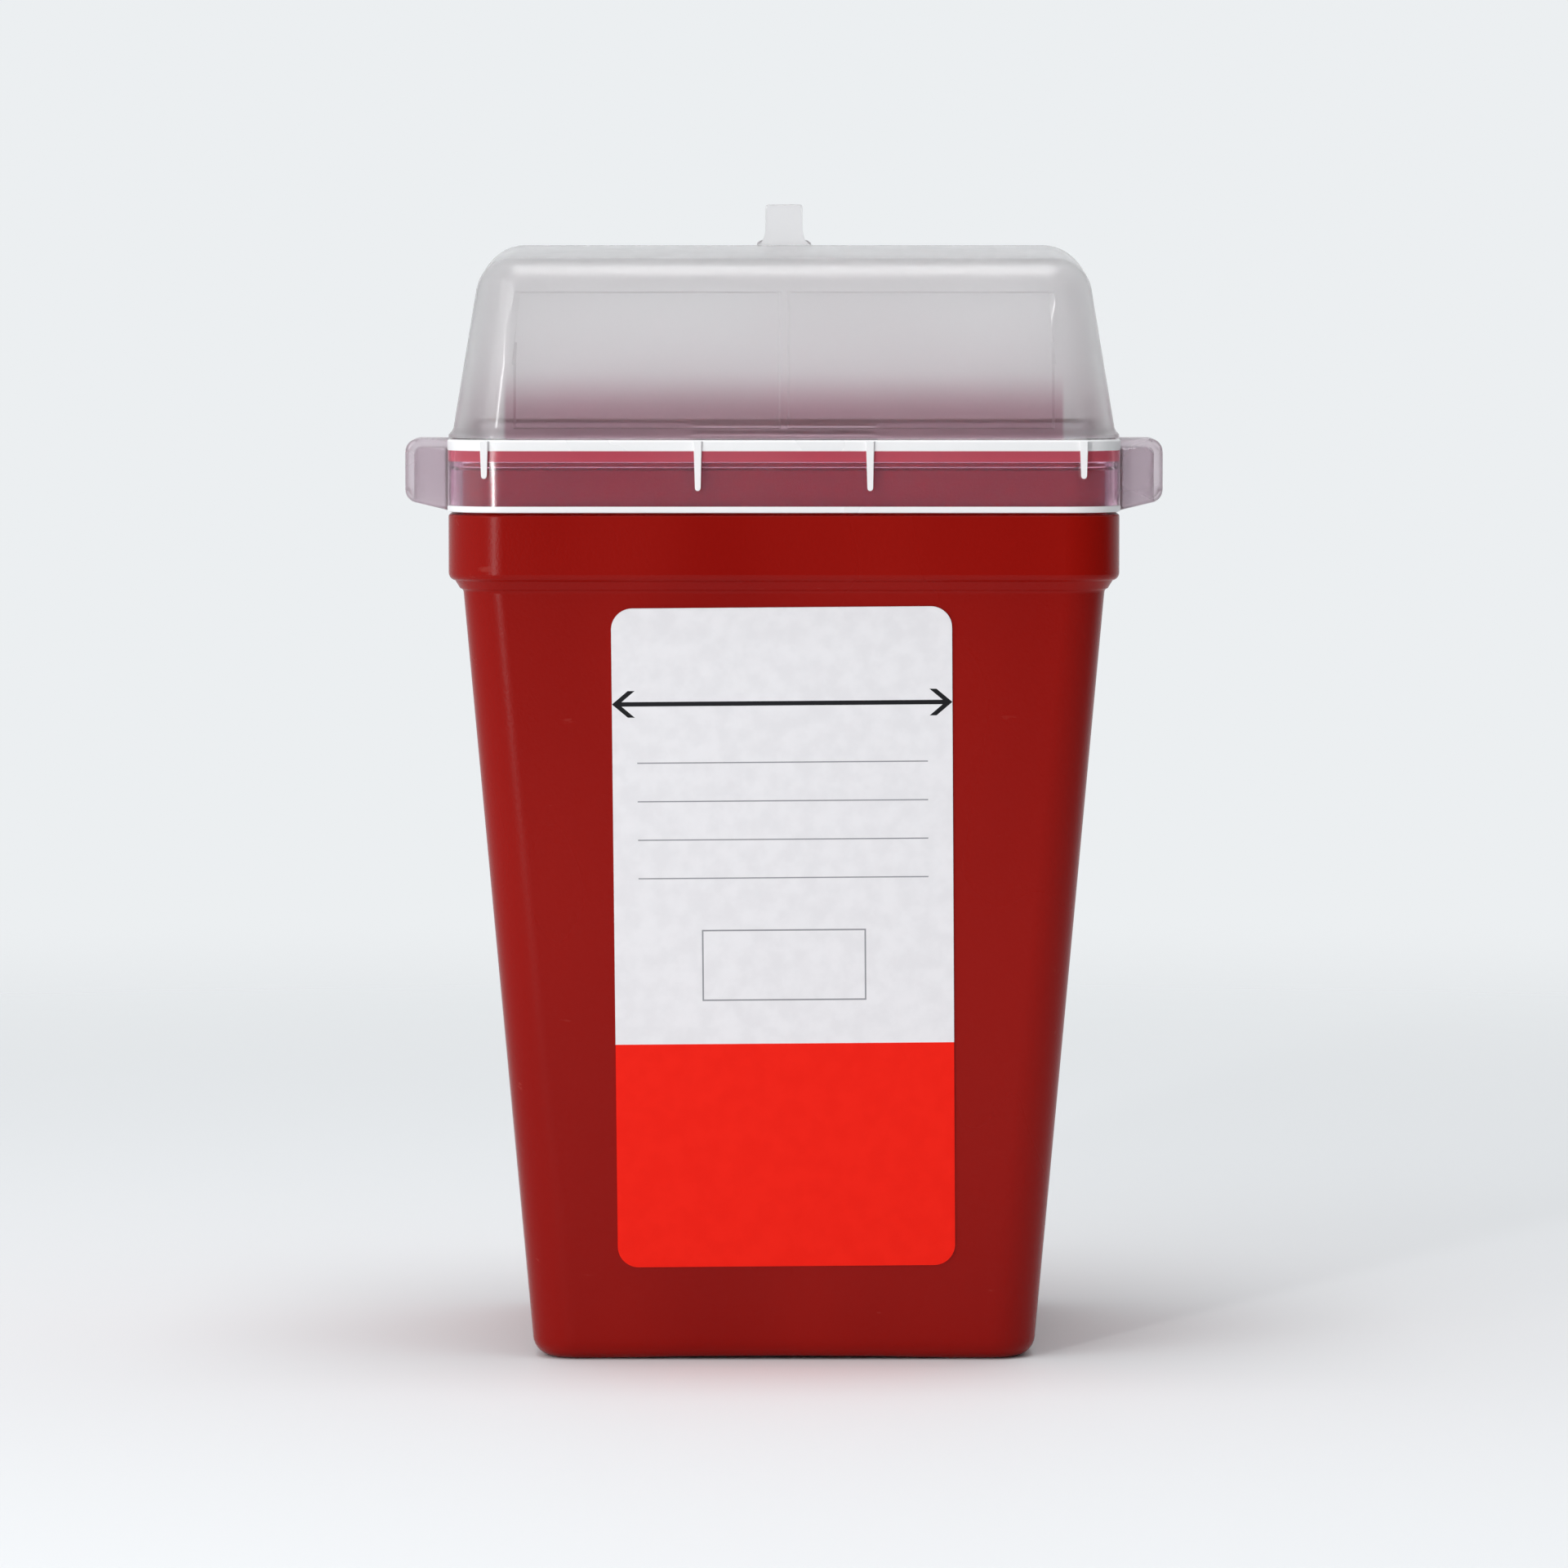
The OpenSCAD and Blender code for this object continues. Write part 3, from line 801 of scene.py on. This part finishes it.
# ---------------------------------------------------------------- label

LABEL_W, LABEL_H, LABEL_R, LABEL_T = 48, 94.5, 3, 0.25
LABEL_DROP, LABEL_TURN, GLUE = 3.1, 0.45, 0.02
WHITE_H = 62.3  # height of the white field, from the top down


def label_material():
    mat, tree, shader = node_material("printed_film", (0.8, 0.79, 0.8), 0.38, Specular_IOR_Level=0.12)
    uv = add(tree, "ShaderNodeUVMap", uv_map="sheet").outputs["UV"]
    split = add(tree, "ShaderNodeSeparateXYZ")
    tree.links.new(uv, split.inputs["Vector"])
    # places on the sheet in millimetres, from its middle across and from its top down
    across = maths(tree, "MULTIPLY", maths(tree, "SUBTRACT", split.outputs["X"], 0.5), LABEL_W)
    down = maths(tree, "MULTIPLY", maths(tree, "SUBTRACT", 1.0, split.outputs["Y"]), LABEL_H)

    def bar(x0, x1, y0, y1):
        dx = maths(tree, "ABSOLUTE", maths(tree, "SUBTRACT", across, (x0 + x1) / 2))
        dy = maths(tree, "ABSOLUTE", maths(tree, "SUBTRACT", down, (y0 + y1) / 2))
        inside_x = maths(tree, "LESS_THAN", dx, (x1 - x0) / 2)
        return maths(tree, "MULTIPLY", inside_x, maths(tree, "LESS_THAN", dy, (y1 - y0) / 2))

    def any_of(masks):
        total = masks[0]
        for m in masks[1:]:
            total = maths(tree, "MAXIMUM", total, m)
        return total

    fill_y, tip, line_half = 13.6, 23.5, 0.32
    line = bar(-tip, tip, fill_y - line_half, fill_y + line_half)
    # the two arrow heads: strokes at a slant that starts at each tip
    slant, head_half, head_reach = 0.85, 0.42, 1.9
    off = maths(tree, "ABSOLUTE", maths(tree, "SUBTRACT", down, fill_y))
    from_tip = maths(tree, "SUBTRACT", tip, maths(tree, "ABSOLUTE", across))
    stroke = maths(tree, "ABSOLUTE", maths(tree, "SUBTRACT", off, maths(tree, "MULTIPLY", from_tip, slant)))
    on_stroke = maths(tree, "LESS_THAN", stroke, head_half)
    head = maths(tree, "MULTIPLY", on_stroke, maths(tree, "LESS_THAN", off, head_reach))
    black = any_of([line, head])
    # four write-in rules and an empty box
    rule_x, rule_half = 20.5, 0.09
    rules = [bar(-rule_x, rule_x, y - rule_half, y + rule_half) for y in (22, 27.5, 33, 38.5)]
    box_x, box_low, box_high, pen = 11.5, 46, 56, 0.11
    rules += [bar(-box_x, box_x, y - pen, y + pen) for y in (box_low, box_high)]
    rules += [bar(x - pen, x + pen, box_low - pen, box_high + pen) for x in (-box_x, box_x)]
    grey = any_of(rules)
    fibre = noise(tree, add(tree, "ShaderNodeTexCoord").outputs["Object"], 380, 3.0)
    white = blend(tree, spread(tree, fibre, 0, 1), (0.775, 0.765, 0.785), (0.82, 0.81, 0.83))
    red = blend(tree, spread(tree, fibre, 0, 1), (0.85, 0.01, 0.002), (0.88, 0.012, 0.003))
    colour = blend(tree, maths(tree, "GREATER_THAN", down, WHITE_H), white, red)
    colour = blend(tree, grey, colour, (0.3, 0.3, 0.32))
    colour = blend(tree, black, colour, (0.012, 0.012, 0.014))
    tree.links.new(colour, shader.inputs["Base Color"])
    tree.links.new(spread(tree, fibre, 0.34, 0.42), shader.inputs["Roughness"])
    bump(tree, shader, fibre, 0.00003, 0.35)
    return mat


def build_label():
    half_w, half_h = LABEL_W / 2, LABEL_H / 2
    outline = []
    for sx, sy, start in ((1, 1, 0), (-1, 1, 90), (-1, -1, 180), (1, -1, 270)):
        outline += round_points(sx * (half_w - LABEL_R), sy * (half_h - LABEL_R), LABEL_R, start, start + 90, 12)
    lean = math.atan(SLOPE)
    drop = LABEL_DROP / math.cos(lean) + half_h
    face = Matrix.Translation(Vector((0, -SHOULDER_HALF, BODY_H)) * MM)
    face = face @ Matrix.Rotation(math.pi / 2 + lean, 4, "X")
    turned = Matrix.Translation(Vector((0, -drop, GLUE)) * MM)
    turned = turned @ Matrix.Rotation(math.radians(LABEL_TURN), 4, "Z")
    obj = prism("front_label", outline, LABEL_T, face @ turned, 0.07, 2)
    back = (face @ turned).inverted()
    layer = obj.data.uv_layers.new(name="sheet")
    for loop in obj.data.loops:
        p = back @ obj.data.vertices[loop.vertex_index].co / MM
        layer.data[loop.index].uv = (p.x / LABEL_W + 0.5, p.y / LABEL_H + 0.5)
    obj.data.materials.append(label_material())
    finish_surface(obj)
    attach(obj, "container")
    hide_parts("label")


# ---------------------------------------------------------------- stage, light and camera


def build_stage():
    bm = bmesh.new()
    bmesh.ops.create_grid(bm, x_segments=8, y_segments=8, size=3)
    floor = from_bmesh("floor", bm)
    mat, tree, shader = node_material("pale_floor", (0.76, 0.775, 0.785), 0.7, Specular_IOR_Level=0.1)
    coords = add(tree, "ShaderNodeTexCoord").outputs["Object"]
    far = add(tree, "ShaderNodeVectorMath", operation="LENGTH")
    tree.links.new(coords, far.inputs[0])
    fade = spread(tree, far.outputs["Value"], 1, 0, 0.25, 0.8)
    tree.links.new(fade, shader.inputs["Alpha"])
    floor.data.materials.append(mat)


def area_light(name, place_at, aim, size_x, size_y, power):
    data = bpy.data.lights.new(name, "AREA")
    data.shape = "RECTANGLE"
    data.size, data.size_y = size_x, size_y
    data.energy = power
    obj = bpy.data.objects.new(name, data)
    bpy.context.scene.collection.objects.link(obj)
    obj.location = place_at
    obj.rotation_euler = (Vector(aim) - Vector(place_at)).to_track_quat("-Z", "Y").to_euler()
    return obj


def build_light():
    world = bpy.data.worlds.new("studio")
    bpy.context.scene.world = world
    world.use_nodes = True
    tree = world.node_tree
    background = tree.nodes["Background"]
    coords = add(tree, "ShaderNodeTexCoord").outputs["Generated"]
    split = add(tree, "ShaderNodeSeparateXYZ")
    tree.links.new(coords, split.inputs["Vector"])
    # light and reflections come from a dark studio that is bright on the left, above and behind
    backdrop = (0.838, 0.863, 0.88)
    left = spread(tree, split.outputs["X"], 1, 0, -0.95, -0.35)
    sides = blend(tree, left, (0.04, 0.042, 0.044), (0.8, 0.81, 0.83))
    above = blend(tree, spread(tree, split.outputs["Z"], 0, 1, 0.3, 0.9), sides, (0.75, 0.76, 0.78))
    surround = blend(tree, spread(tree, split.outputs["Y"], 0, 1, 0.1, 0.6), above, backdrop)
    # the camera sees the plain backdrop, also through the hood
    path = add(tree, "ShaderNodeLightPath").outputs
    seen = maths(tree, "MAXIMUM", path["Is Camera Ray"], path["Is Transmission Ray"])
    colour = blend(tree, seen, surround, backdrop)
    tree.links.new(colour, background.inputs["Color"])
    area_light("key", (-0.75, -0.95, 0.8), (0, 0, 0.08), 0.8, 0.8, 4.1)
    strip = area_light("strip", (-0.36, -0.87, 0.16), (0, 0, 0.12), 0.03, 0.6, 3.4)
    strip.visible_transmission = False
    area_light("top", (0, -0.1, 1.2), (0, 0, 0.1), 0.6, 0.6, 5)


def build_camera():
    distance, height, pitch = 1.2, 0.156, 3.48
    data = bpy.data.cameras.new("camera")
    data.sensor_width = 36
    data.lens = 196.3
    data.clip_start, data.clip_end = 0.05, 20
    cam = bpy.data.objects.new("camera", data)
    bpy.context.scene.collection.objects.link(cam)
    cam.location = (0, -SKIRT_HALF * MM - distance, height)
    cam.rotation_euler = (math.pi / 2 - math.radians(pitch), 0, 0)
    bpy.context.scene.camera = cam


build_camera()
build_light()
build_stage()
build_tub()
build_lid_frame()
build_hood()
build_label()
bpy.context.scene.view_settings.view_transform = "Standard"
